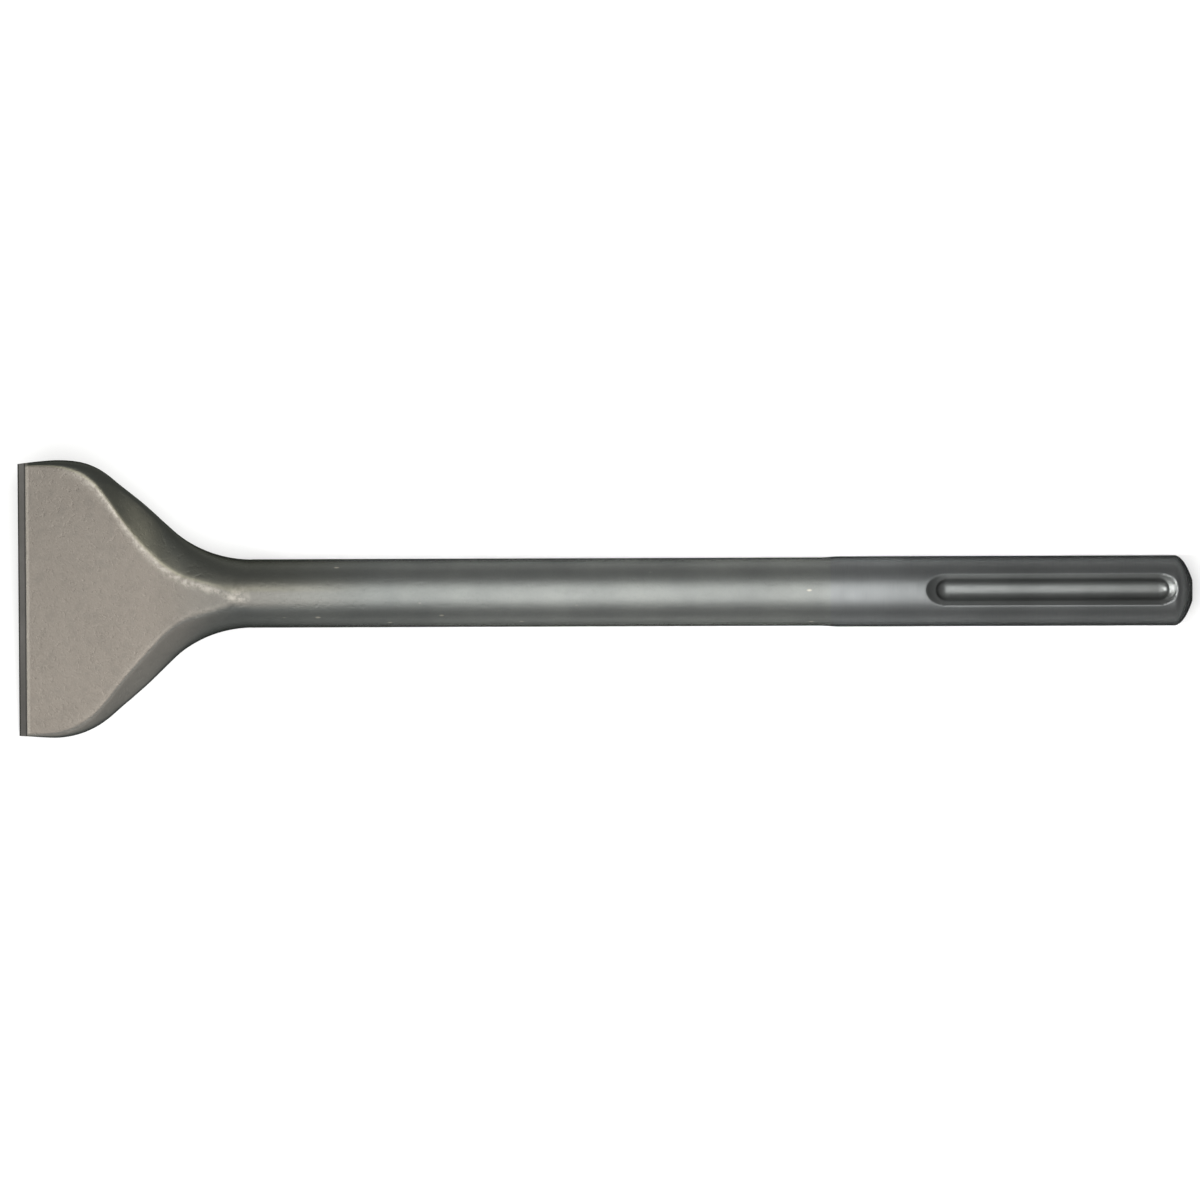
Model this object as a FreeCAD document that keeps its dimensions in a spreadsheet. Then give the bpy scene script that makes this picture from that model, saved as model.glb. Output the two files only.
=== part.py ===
import FreeCAD, Part
import math
import os

import Sketcher
from FreeCAD import Placement, Rotation, Vector

# A wide flat chisel for an electric hammer, forged from one round bar of tool steel.
# It is drawn along X: the cutting edge at X = 0, the slotted shank at the far end.
# The blade's two faces look along +Z and -Z while it is drawn. At the end it is rolled
# about its own length until one shoulder of the blade rests on the floor with the shank.

# Driving sizes in millimetres and degrees: name, value, what it measures
SIZES = (
    ("overall_length", 300, "cutting edge to striking end"),
    ("bar_diameter", 17.5, "forged round bar between blade and shank"),
    ("shank_diameter", 18, "ground shank"),
    ("shank_length", 90, "ground shank, the length that enters the tool holder"),
    ("shank_step_run", 1.5, "length of the cone from the bar up to the shank"),
    ("end_crown_rise", 5.75, "how far the rounded striking end comes in from the shank's side"),
    ("end_crown_run", 4.3, "length of that rounding along the shank"),
    ("edge_width", 70.6, "width of the blade at its cutting edge"),
    ("flare_angle", 6.5, "how far each side opens behind the cutting edge"),
    ("shoulder_radius", 21, "turn from the side into the flank"),
    ("flank_angle", 42.4, "slope of the straight flank against the bar"),
    ("neck_radius", 30, "hollow turn from the flank into the bar"),
    ("blade_run", 60, "cutting edge to where the blade has become the bar"),
    ("blade_offset", 1.5, "how far the cutting edge was forged to one side of the bar's axis"),
    ("tip_thickness", 0.3, "blunt left on the cutting edge"),
    ("bevel_length", 2, "ground bevel behind the cutting edge"),
    ("bevel_heel_thickness", 2.2, "blade thickness where the bevel ends"),
    ("wedge_angle", 16.2, "angle between the two faces"),
    ("side_bulge", 0.55, "depth of the rounded side as a share of the half thickness"),
    ("flank_bulge", 1.13, "depth of the rounded flank as a share of the half thickness"),
    ("barrel_rise", 1.06, "height of the rounded flank as a share of the half thickness"),
    ("lock_angle", 12.2, "from the blade's face round to the first locking groove"),
    ("lock_end_gap", 3.7, "striking end to the locking groove's lip"),
    ("lock_length", 64.3, "length of the locking groove over its lips"),
    ("lock_depth", 3.1, "depth of the locking groove"),
    ("lock_channel_radius", 3.3, "round floor of the locking groove"),
    ("lock_lip_width", 8, "width of the locking groove across its lips"),
    ("lock_lip_radius", 7.2, "shallow round that opens the lips"),
    ("slot_angle", 105, "from the first locking groove round to each drive slot"),
    ("slot_width", 5, "width of a drive slot"),
    ("slot_depth", 2.4, "depth of a drive slot"),
    ("slot_length", 71.5, "striking end to the inner end of a drive slot"),
    ("slot_cutter_radius", 10, "cutter that leaves the drive slot's curved inner end"),
)

NODE = "flat_chisel"
LOCK_GROOVE_COUNT = 2

# Cross-sections on each stretch of the blade's outline
SIDE_SECTION_COUNT = 2
SHOULDER_SECTION_COUNT = 6
FLANK_SECTION_COUNT = 3
NECK_SECTION_COUNT = 9

# A cut runs this far past the steel that it removes
OVERRUN = 5
# The blade forging keeps this narrow flat on its top and bottom, up to the bar
TOP_FLAT = 0.6
# Along the neck that flat closes up by this power of the run that is left
TOP_CLOSING_POWER = 3
# The blade's sideways offset fades towards the bar by this power of the run that is left
OFFSET_FADING_POWER = 2
# The forging ends this far inside the bar, a hair thinner, so that the two join without a gap
ROUND_LEAD = 1
ROUND_INSET = 0.03

# A coordinate under this size lies on the sketch's axis
ON_AXIS = 1e-9
# A cut that works removes more than this volume
LEAST_CUT = 1
# The resting roll is sought up to this angle, at so many places along the blade
ROLL_LIMIT_ANGLE = 40
ROLL_STATION_COUNT = 60
ROLL_HALVING_COUNT = 40

doc = FreeCAD.newDocument(NODE)
sheet = doc.addObject("Spreadsheet::Sheet", "sizes")
for row, (alias, value, meaning) in enumerate(SIZES, start=1):
    sheet.set("A%d" % row, meaning)
    sheet.set("B%d" % row, str(value))
    sheet.setAlias("B%d" % row, alias)
doc.recompute()


def size(name):
    """One driving size, read from the sheet."""
    return float(sheet.get(name))


def work_out(formula):
    """The value of a formula on the sheet's sizes."""
    result = sheet.evalExpression(formula)
    return float(getattr(result, "Value", result))


body = doc.addObject("PartDesign::Body", NODE)
body.Label = NODE


def origin_feature(role):
    """The body's own origin plane or axis of that role."""
    return next(item for item in body.Origin.OriginFeatures if item.Role == role)


def new_sketch(name, plane, turn=None):
    """A sketch on an origin plane, turned about the bar by a formula where one is given."""
    sketch = body.newObject("Sketcher::SketchObject", name)
    sketch.AttachmentSupport = [(origin_feature(plane), "")]
    sketch.MapMode = "FlatFace"
    if turn:
        sketch.AttachmentOffset = Placement(Vector(), Rotation(Vector(1, 0, 0), work_out(turn)))
        sketch.setExpression("AttachmentOffset.Rotation.Angle", turn)
    return sketch


def new_feature(kind, name):
    """A feature of the body that leaves every face as its outline was drawn."""
    feature = body.newObject("PartDesign::" + kind, name)
    feature.Refine = False
    return feature


def bind_distance(sketch, kind, geometry, position, value, formula):
    """Ties one coordinate of a point to a formula, or to the sketch's axis where it is zero."""
    if abs(value) < ON_AXIS:
        axis = -1 if kind == "DistanceY" else -2
        sketch.addConstraint(Sketcher.Constraint("PointOnObject", geometry, position, axis))
        return
    index = sketch.addConstraint(Sketcher.Constraint(kind, -1, 1, geometry, position, value))
    sketch.setExpression("Constraints[%d]" % index, formula)


def arc_between(start, end, radius, side):
    """The short arc from start to end, with its centre on the left (1) or right (-1)."""
    chord = end - start
    rise = math.sqrt(max(radius ** 2 - (chord.Length / 2) ** 2, 0))
    left = Vector(-chord.y, chord.x, 0).normalize()
    centre = (start + end) * 0.5 + left * (rise * side)
    first = math.atan2(start.y - centre.y, start.x - centre.x)
    last = math.atan2(end.y - centre.y, end.x - centre.x)
    if side < 0:
        first, last = last, first
    return Part.ArcOfCircle(Part.Circle(centre, Vector(0, 0, 1), radius), first, last)


def draw_loop(sketch, corners, arcs=None):
    """Draws a closed outline through corners given as pairs of formulas.

    arcs maps a corner's number to the radius formula and the centre's side of the arc that
    leaves it. All other corners are joined by straight lines.
    """
    arcs = arcs or {}
    points = [Vector(work_out(x), work_out(y), 0) for x, y in corners]
    starts = []
    ends = []
    for number, start in enumerate(points):
        end = points[(number + 1) % len(points)]
        if number in arcs:
            formula, side = arcs[number]
            geometry = sketch.addGeometry(arc_between(start, end, work_out(formula), side))
            index = sketch.addConstraint(Sketcher.Constraint("Radius", geometry, work_out(formula)))
            sketch.setExpression("Constraints[%d]" % index, formula)
            starts.append((geometry, 1 if side > 0 else 2))
            ends.append((geometry, 2 if side > 0 else 1))
        else:
            geometry = sketch.addGeometry(Part.LineSegment(start, end))
            starts.append((geometry, 1))
            ends.append((geometry, 2))
    for number, (point, (x, y)) in enumerate(zip(points, corners)):
        sketch.addConstraint(Sketcher.Constraint("Coincident", *ends[number - 1], *starts[number]))
        bind_distance(sketch, "DistanceX", *starts[number], point.x, x)
        bind_distance(sketch, "DistanceY", *starts[number], point.y, y)


def check_cut(name, before):
    """Stops the build where a cut has removed nothing."""
    doc.recompute()
    if body.Shape.Volume >= before - LEAST_CUT:
        raise RuntimeError("%s removed nothing" % name)


class BladeForm:
    """The forged blade's outline from above and its rounded cross-section.

    A run is a distance from the cutting edge. The outline is a side that opens slightly, a
    round shoulder, a straight flank and a hollow neck that ends in the bar, all tangent.
    """

    def __init__(self):
        # The forging's radius where it runs into the bar
        self.bar = size("bar_diameter") / 2 - ROUND_INSET
        self.edge = size("edge_width") / 2
        self.flare = math.radians(size("flare_angle"))
        self.flank = math.radians(size("flank_angle"))
        self.shoulder = size("shoulder_radius")
        self.neck = size("neck_radius")
        self.neck_end = size("blade_run")
        self.neck_start = self.neck_end - self.neck * math.sin(self.flank)
        # The flank's line meets the cutting edge's plane at this half width
        drop = self.neck / math.cos(self.flank) - self.neck
        self.flank_rise = self.neck_end * math.tan(self.flank) + self.bar - drop
        self.centre_run = self.find_shoulder()
        lift = self.shoulder / math.cos(self.flare)
        self.centre_width = self.edge + self.centre_run * math.tan(self.flare) - lift
        self.shoulder_start = self.centre_run - self.shoulder * math.sin(self.flare)
        self.shoulder_end = self.centre_run + self.shoulder * math.sin(self.flank)
        self.slope = math.tan(math.radians(size("wedge_angle") / 2))
        self.heel = size("bevel_heel_thickness") / 2

    def find_shoulder(self):
        """Run of the shoulder's centre, one radius inside both the side and the flank."""
        across_flank = self.flank_rise - self.shoulder / math.cos(self.flank)
        across_side = self.edge - self.shoulder / math.cos(self.flare)
        return (across_flank - across_side) / (math.tan(self.flare) + math.tan(self.flank))

    def half_width(self, run):
        """Half the blade's width at a run."""
        if run < self.shoulder_start:
            return self.edge + run * math.tan(self.flare)
        if run < self.shoulder_end:
            return self.centre_width + math.sqrt(self.shoulder ** 2 - (run - self.centre_run) ** 2)
        if run < self.neck_start:
            return self.flank_rise - run * math.tan(self.flank)
        if run < self.neck_end:
            return self.bar + self.neck - math.sqrt(self.neck ** 2 - (run - self.neck_end) ** 2)
        return self.bar

    def centre(self, run):
        """Where the blade's middle lies across the bar, on the side that is rolled down."""
        left = max(self.neck_end - run, 0) / self.neck_end
        return -size("blade_offset") * left ** OFFSET_FADING_POWER

    def turn(self, run):
        """How much of the flank's slope the outline has reached, from 0 on the side to 1."""
        share = (run - self.shoulder_start) / (self.shoulder_end - self.shoulder_start)
        return min(max(share, 0), 1)

    def half_thickness(self, run):
        """Half the distance between the two faces."""
        return self.heel + (run - size("bevel_length")) * self.slope

    def barrel_height(self, run):
        """Half the height of the rounded flank: just above the faces, then the bar's own."""
        rise = size("barrel_rise")
        # The flank's straight line would reach the bar's height here
        crossing = (self.bar / rise - self.heel) / self.slope + size("bevel_length")
        reach = self.neck_end - crossing
        if run < crossing - reach:
            return rise * self.half_thickness(run)
        # A parabola that leaves that line and ends level with the bar
        left = max(self.neck_end - run, 0)
        return self.bar - rise * self.slope * left ** 2 / (4 * reach)

    def bulge(self, run):
        """Depth of the whole rounded flank, measured across the bar."""
        share = size("side_bulge") + (size("flank_bulge") - size("side_bulge")) * self.turn(run)
        shown = share * self.half_thickness(run) / math.cos(self.flank * self.turn(run))
        return shown / (1 - math.sqrt(1 - 1 / size("barrel_rise") ** 2))

    def top_half(self, run):
        """Half the flat top of the cross-section, which closes up along the neck."""
        if run < self.neck_start:
            return self.half_width(run) - self.bulge(run)
        start = self.half_width(self.neck_start) - self.bulge(self.neck_start)
        left = max(self.neck_end - run, 0) / (self.neck_end - self.neck_start)
        return TOP_FLAT / 2 + (start - TOP_FLAT / 2) * left ** TOP_CLOSING_POWER

    def runs(self):
        """Where the cross-sections stand, closest together on the two turns."""
        spans = (
            (0, self.shoulder_start, SIDE_SECTION_COUNT),
            (self.shoulder_start, self.shoulder_end, SHOULDER_SECTION_COUNT),
            (self.shoulder_end, self.neck_start, FLANK_SECTION_COUNT),
            (self.neck_start, self.neck_end, NECK_SECTION_COUNT),
        )
        found = [low + (high - low) * step / steps for low, high, steps in spans for step in range(steps)]
        return found + [self.neck_end, self.neck_end + ROUND_LEAD]

    def lowest(self, run, roll):
        """How far the cross-section reaches below the bar's axis when rolled."""
        face = self.half_thickness(run)
        barrel = self.barrel_height(run)
        depth = self.half_width(run) - self.top_half(run)
        # The flat top's end, measured from the bar's axis
        top = self.top_half(run) - self.centre(run)
        down = barrel * math.cos(roll)
        reach = math.hypot(depth * math.sin(roll), down)
        # The rounded flank's lowest point, where the face leaves it
        if barrel * down / reach <= face:
            return top * math.sin(roll) + reach
        # Otherwise the corner between the face and the flank
        corner = top + depth * math.sqrt(1 - (face / barrel) ** 2)
        return corner * math.sin(roll) + face * math.cos(roll)


def half_ellipse(top, width, height):
    """The rounded flank from the top round to the bottom, out to a width across the bar."""
    curve = Part.BSplineCurve()
    poles = [
        Vector(top, height, 0),
        Vector(width, height, 0),
        Vector(width, 0, 0),
        Vector(width, -height, 0),
        Vector(top, -height, 0),
    ]
    corner = math.sqrt(0.5)
    weights = [1, corner, 1, corner, 1]
    curve.buildFromPolesMultsKnots(poles, [3, 2, 3], [0, 1, 2], False, 2, weights)
    return curve


def bar_circle(angle_from, angle_to):
    """One stretch of the round end section, in radians from the right."""
    return Part.ArcOfCircle(Part.Circle(Vector(), Vector(0, 0, 1), form.bar), angle_from, angle_to)


def section_sketch(number, run):
    """One cross-section of the blade forging: flat top and bottom, rounded flanks."""
    sketch = body.newObject("Sketcher::SketchObject", "section_%02d" % number)
    sketch.AttachmentSupport = [(origin_feature("YZ_Plane"), "")]
    sketch.MapMode = "FlatFace"
    sketch.AttachmentOffset = Placement(Vector(0, 0, run), Rotation())
    if run < form.neck_end:
        middle = form.centre(run)
        right = middle + form.top_half(run)
        left = middle - form.top_half(run)
        width = form.half_width(run)
        height = form.barrel_height(run)
        sketch.addGeometry(Part.LineSegment(Vector(left, height, 0), Vector(right, height, 0)))
        sketch.addGeometry(half_ellipse(right, middle + width, height))
        sketch.addGeometry(Part.LineSegment(Vector(right, -height, 0), Vector(left, -height, 0)))
        sketch.addGeometry(half_ellipse(left, middle - width, height))
        return sketch
    side = math.acos(TOP_FLAT / 2 / form.bar)
    sketch.addGeometry(bar_circle(side, math.pi - side))
    sketch.addGeometry(bar_circle(-side, side))
    sketch.addGeometry(bar_circle(math.pi + side, 2 * math.pi - side))
    sketch.addGeometry(bar_circle(math.pi - side, math.pi + side))
    return sketch


def forge_blade():
    """The blank of the blade: every cross-section joined by one smooth skin."""
    sections = [section_sketch(number, run) for number, run in enumerate(form.runs())]
    doc.recompute()
    loft = new_feature("AdditiveLoft", "blade_blank")
    loft.Profile = (sections[0], [""])
    loft.Sections = [(section, [""]) for section in sections[1:]]
    doc.recompute()


def turn_bar():
    """The bar, the ground shank and its crowned striking end, turned about X."""
    sketch = new_sketch("bar_outline", "XZ_Plane")
    start = "sizes.blade_run"
    bar = "sizes.bar_diameter / 2"
    shank = "sizes.shank_diameter / 2"
    step = "sizes.overall_length - sizes.shank_length"
    # The rounding leaves the flat end square to the bar
    crown = "(sizes.end_crown_rise ^ 2 + sizes.end_crown_run ^ 2) / (2 * sizes.end_crown_run)"
    corners = [
        (start, "0"),
        ("sizes.overall_length", "0"),
        ("sizes.overall_length", "%s - sizes.end_crown_rise" % shank),
        ("sizes.overall_length - sizes.end_crown_run", shank),
        (step, shank),
        ("%s - sizes.shank_step_run" % step, bar),
        (start, bar),
    ]
    draw_loop(sketch, corners, {2: (crown, 1)})
    turned = new_feature("Revolution", "bar_and_shank")
    turned.Profile = (sketch, [""])
    turned.ReferenceAxis = (sketch, ["H_Axis"])
    turned.Angle = 360
    doc.recompute()


def cut_both_faces(name, corners):
    """Cuts one outline right across the blade, above it and mirrored below it."""
    before = body.Shape.Volume
    sketch = new_sketch(name + "_outline", "XZ_Plane")
    draw_loop(sketch, corners)
    pocket = new_feature("Pocket", name)
    pocket.Profile = (sketch, [""])
    pocket.SideType = "Symmetric"
    pocket.Type = "Length"
    pocket.setExpression("Length", "sizes.edge_width * 2")
    check_cut(name, before)
    mirror = new_feature("Mirrored", name + "_below")
    mirror.Originals = [pocket]
    mirror.MirrorPlane = (origin_feature("XY_Plane"), [""])
    body.Tip = mirror
    doc.recompute()


def press_faces():
    """The two flat faces that close to a wedge, from the neck to the cutting edge."""
    top = "sizes.bar_diameter"
    slope = "tan(sizes.wedge_angle * 1 deg / 2)"
    heel = "sizes.bevel_heel_thickness / 2"
    before_edge = "%s - (%s + sizes.bevel_length) * %s" % (heel, OVERRUN, slope)
    at_neck = "%s + (sizes.blade_run - sizes.bevel_length) * %s" % (heel, slope)
    corners = [
        ("-%s" % OVERRUN, before_edge),
        ("sizes.blade_run", at_neck),
        ("sizes.blade_run", top),
        ("-%s" % OVERRUN, top),
    ]
    cut_both_faces("wedge_face", corners)


def grind_bevels():
    """The short ground bevels that meet in the cutting edge."""
    tip = "sizes.tip_thickness / 2"
    heel = "sizes.bevel_heel_thickness / 2"
    rise = "((%s - %s) / sizes.bevel_length)" % (heel, tip)
    corners = [
        ("-%s" % OVERRUN, "%s - %s * %s" % (tip, OVERRUN, rise)),
        ("sizes.bevel_length + %s" % OVERRUN, "%s + %s * %s" % (heel, OVERRUN, rise)),
        ("-%s" % OVERRUN, "%s + %s * %s" % (heel, OVERRUN, rise)),
    ]
    cut_both_faces("cutting_bevel", corners)


def turned_groove(name, radius, height):
    """Cuts a round-ended channel whose own axis lies at a height over the bar's axis."""
    before = body.Shape.Volume
    sketch = new_sketch(name + "_outline", "XZ_Plane", "-sizes.lock_angle")
    inner, outer = lock_round_ends()
    # The half outline above the axis, so that the turned seam stays clear of the steel
    corners = [
        ("%s - %s" % (inner, radius), height),
        (inner, "%s + %s" % (height, radius)),
        (outer, "%s + %s" % (height, radius)),
        ("%s + %s" % (outer, radius), height),
    ]
    draw_loop(sketch, corners, {0: (radius, -1), 2: (radius, -1)})
    axis_start = Vector(work_out(inner), work_out(height), 0)
    axis_end = Vector(work_out(outer), work_out(height), 0)
    axis = sketch.addGeometry(Part.LineSegment(axis_start, axis_end), True)
    bind_distance(sketch, "DistanceX", axis, 1, axis_start.x, inner)
    bind_distance(sketch, "DistanceX", axis, 2, axis_end.x, outer)
    bind_distance(sketch, "DistanceY", axis, 1, axis_start.y, height)
    bind_distance(sketch, "DistanceY", axis, 2, axis_end.y, height)
    groove = new_feature("Groove", name)
    groove.Profile = (sketch, [""])
    groove.ReferenceAxis = (sketch, ["Axis0"])
    groove.Angle = 360
    check_cut(name, before)
    return groove


def lip_axis_height():
    """Formula for the axis of the shallow round whose cut is as wide as the lips."""
    shank = "sizes.shank_diameter / 2"
    half = "sizes.lock_lip_width / 2"
    return "(sqrt((%s) ^ 2 - (%s) ^ 2) + sqrt(sizes.lock_lip_radius ^ 2 - (%s) ^ 2))" % (shank, half, half)


def lock_round_ends():
    """Formulas for the centres of the locking groove's two round ends, along the bar."""
    shank = "sizes.shank_diameter / 2"
    # How far the lips reach past such a centre, at the shank's surface
    reach = "sqrt(sizes.lock_lip_radius ^ 2 - (%s - %s) ^ 2)" % (lip_axis_height(), shank)
    last = "sizes.overall_length - sizes.lock_end_gap"
    return "%s - sizes.lock_length + %s" % (last, reach), "%s - %s" % (last, reach)


def cut_locking_grooves():
    """Two opposite locking grooves, closed at both ends, with opened lips."""
    before = body.Shape.Volume
    height = "(sizes.shank_diameter / 2 - sizes.lock_depth + sizes.lock_channel_radius)"
    lips = turned_groove("lock_lips", "sizes.lock_lip_radius", lip_axis_height())
    channel = turned_groove("lock_channel", "sizes.lock_channel_radius", height)
    pair = new_feature("PolarPattern", "lock_grooves")
    pair.Originals = [lips, channel]
    pair.Axis = (origin_feature("X_Axis"), [""])
    pair.Angle = 360
    pair.Occurrences = LOCK_GROOVE_COUNT
    body.Tip = pair
    check_cut(pair.Name, before)


def cut_drive_slot(name, turn):
    """One open slot: flat floor, square sides and the cutter's curve at its inner end."""
    before = body.Shape.Volume
    sketch = new_sketch(name + "_outline", "XZ_Plane", turn)
    shank = "sizes.shank_diameter / 2"
    floor = "(%s - sizes.slot_depth)" % shank
    above = "(%s + sizes.slot_depth)" % shank
    cutter = "sizes.slot_cutter_radius"
    end = "sizes.overall_length + %s" % OVERRUN
    at_surface = "sqrt(%s ^ 2 - (%s - sizes.slot_depth) ^ 2)" % (cutter, cutter)
    at_top = "sqrt(%s ^ 2 - (%s - 2 * sizes.slot_depth) ^ 2)" % (cutter, cutter)
    floor_start = "sizes.overall_length - sizes.slot_length + %s" % at_surface
    corners = [
        (floor_start, floor),
        (end, floor),
        (end, above),
        ("%s - %s" % (floor_start, at_top), above),
    ]
    draw_loop(sketch, corners, {3: (cutter, 1)})
    pocket = new_feature("Pocket", name)
    pocket.Profile = (sketch, [""])
    pocket.SideType = "Symmetric"
    pocket.Type = "Length"
    pocket.setExpression("Length", "sizes.slot_width")
    check_cut(name, before)


def resting_roll():
    """Roll at which the blade's lower shoulder is as low as the shank, in degrees."""
    runs = [form.shoulder_end * (step + 1) / ROLL_STATION_COUNT for step in range(ROLL_STATION_COUNT)]
    low = 0
    high = math.radians(ROLL_LIMIT_ANGLE)
    for _ in range(ROLL_HALVING_COUNT):
        roll = (low + high) / 2
        if max(form.lowest(run, roll) for run in runs) > size("shank_diameter") / 2:
            high = roll
        else:
            low = roll
    return math.degrees(low)


form = BladeForm()
forge_blade()
turn_bar()
press_faces()
grind_bevels()
cut_locking_grooves()
cut_drive_slot("drive_slot_near", "-sizes.lock_angle - sizes.slot_angle")
cut_drive_slot("drive_slot_far", "-sizes.lock_angle + sizes.slot_angle")

# Laid down: origin on the floor under the middle of the length
body.Placement = Placement(Vector(0, 0, 0), Rotation(Vector(1, 0, 0), resting_roll()))
body.setExpression("Placement.Base.x", "-sizes.overall_length / 2")
body.setExpression("Placement.Base.z", "sizes.shank_diameter / 2")
doc.recompute()

for item in doc.Objects:
    if "Invalid" in item.State or "Error" in item.State:
        raise RuntimeError("%s did not build: %s" % (item.Name, item.State))
if body.Shape.isNull() or not body.Shape.isValid() or len(body.Shape.Solids) != 1:
    raise RuntimeError("%s is not one valid solid" % NODE)
print("%s: volume %.0f mm3, roll %.2f degrees" % (NODE, body.Shape.Volume, resting_roll()))

os.makedirs("parts", exist_ok=True)
body.Shape.exportStep("parts/%s.step" % NODE)
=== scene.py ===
"""A wide flat hammer chisel, forged in one piece, as it lies on a pale studio floor.

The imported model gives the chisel's box and the roll at which it lies. The finished piece is
modelled inside that box at the same sizes, with the forging's soft edges and uneven skin.
"""

import logging
import math
from dataclasses import dataclass, field
from enum import Enum

import bpy
import numpy as np
from mathutils import Matrix, Vector


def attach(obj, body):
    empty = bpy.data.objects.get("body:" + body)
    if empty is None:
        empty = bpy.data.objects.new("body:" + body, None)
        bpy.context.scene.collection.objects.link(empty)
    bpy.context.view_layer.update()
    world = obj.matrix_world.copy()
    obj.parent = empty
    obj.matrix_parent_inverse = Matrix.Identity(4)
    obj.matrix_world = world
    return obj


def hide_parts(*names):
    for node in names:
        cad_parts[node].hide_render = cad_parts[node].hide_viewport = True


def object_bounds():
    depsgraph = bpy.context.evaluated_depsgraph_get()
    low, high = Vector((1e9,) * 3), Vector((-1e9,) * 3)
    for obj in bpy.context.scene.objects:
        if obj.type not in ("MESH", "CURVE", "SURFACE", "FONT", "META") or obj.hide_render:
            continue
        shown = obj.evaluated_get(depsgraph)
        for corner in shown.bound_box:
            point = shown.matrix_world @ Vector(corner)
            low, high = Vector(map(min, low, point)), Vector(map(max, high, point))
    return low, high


logging.basicConfig(level=logging.INFO, format="%(message)s")
log = logging.getLogger("flat_chisel")

NODE = "flat_chisel"
BODY = "root"
PIECE = "chisel_forging"
EDGE_WEAR_AND_HIGHLIGHT = "edge_wear_and_highlight"

# One millimetre in metres, the unit of every coordinate
MM = 0.001

Tree = bpy.types.NodeTree
Socket = bpy.types.NodeSocket
Colour = tuple[float, float, float, float]

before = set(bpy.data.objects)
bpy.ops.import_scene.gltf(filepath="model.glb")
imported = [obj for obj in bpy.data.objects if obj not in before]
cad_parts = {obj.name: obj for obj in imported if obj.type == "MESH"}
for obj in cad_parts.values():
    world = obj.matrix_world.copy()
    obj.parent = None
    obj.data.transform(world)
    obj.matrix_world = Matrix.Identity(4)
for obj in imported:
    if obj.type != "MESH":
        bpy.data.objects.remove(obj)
cad_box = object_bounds()


class Region(Enum):
    """The stretches of the chisel that leave the workshop with a finish of their own."""

    FORGED = 0
    GROUND_BEVEL = 1
    TURNED_SHANK = 2
    ROLLED_GROOVE = 3


Finishes = dict[Region, bpy.types.Material]


def linear(hex_colour: str) -> Colour:
    """Turns an sRGB hex colour into a linear one.

    Args:
        hex_colour: The colour as #rrggbb.

    Returns:
        Red, green, blue and an alpha of one.
    """
    values = [int(hex_colour[place:place + 2], 16) / 255 for place in (1, 3, 5)]
    turned = [v / 12.92 if v <= 0.04045 else ((v + 0.055) / 1.055) ** 2.4 for v in values]
    return (*turned, 1.0)


def per_mm(size: float) -> float:
    """A texture's scale on Object coordinates for a pattern of that size in millimetres."""
    return 1 / (size * MM)


def from_edge(start: float, end: float) -> tuple[float, float]:
    """Two places along the bar, from their distances to the cutting edge in millimetres."""
    return cad_box[0].x + start * MM, cad_box[0].x + end * MM


def clamped(value: float) -> float:
    """The value, held between nought and one."""
    return min(max(value, 0), 1)


def eased(share: float | np.ndarray) -> float | np.ndarray:
    """A share from nought to one, given a soft start and a soft end."""
    return share ** 2 * (3 - 2 * share)


def bow(start: np.ndarray, middle: np.ndarray, end: np.ndarray, count: int) -> np.ndarray:
    """A smooth curve that sets out towards a middle point and arrives from there.

    Args:
        start: Its first point.
        middle: The point that both of its ends aim at.
        end: Its last point.
        count: How many points it gets.

    Returns:
        The points, one row each.
    """
    share = np.linspace(0, 1, count)[:, None]
    return (1 - share) ** 2 * start + 2 * share * (1 - share) * middle + share ** 2 * end


def add_node(
    tree: Tree,
    kind: str,
    settings: dict[str, object] | None = None,
    inputs: dict[str | int, object] | None = None,
) -> bpy.types.Node:
    """Adds a node, sets it up and links it.

    Args:
        tree: The node tree that it joins.
        kind: The node's type without its leading "ShaderNode".
        settings: The node's own properties.
        inputs: A value or another node's output socket for each input, by name or number.

    Returns:
        The new node.
    """
    node = tree.nodes.new("ShaderNode" + kind)
    for name, value in (settings or {}).items():
        setattr(node, name, value)
    for name, value in (inputs or {}).items():
        if isinstance(value, Socket):
            tree.links.new(value, node.inputs[name])
        else:
            node.inputs[name].default_value = value
    return node


def new_material(name: str) -> tuple[bpy.types.Material, Tree]:
    """Makes an empty node material.

    Args:
        name: What the material is called.

    Returns:
        The material and its node tree.
    """
    material = bpy.data.materials.new(name)
    material.use_nodes = True
    material.node_tree.nodes.clear()
    return material, material.node_tree


def deselect_all() -> None:
    """Leaves no object selected, because an operator acts on all that is."""
    bpy.ops.object.select_all(action="DESELECT")


def make_active(piece: bpy.types.Object) -> None:
    """Selects one object alone and makes it the active one.

    Args:
        piece: The object.
    """
    deselect_all()
    piece.select_set(True)
    bpy.context.view_layer.objects.active = piece


def vertex_places(piece: bpy.types.Object) -> np.ndarray:
    """Reads where a piece's vertices are.

    Args:
        piece: The piece.

    Returns:
        Their coordinates, one row each.
    """
    places = np.empty(len(piece.data.vertices) * 3)
    piece.data.vertices.foreach_get("co", places)
    return places.reshape(-1, 3)


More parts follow.
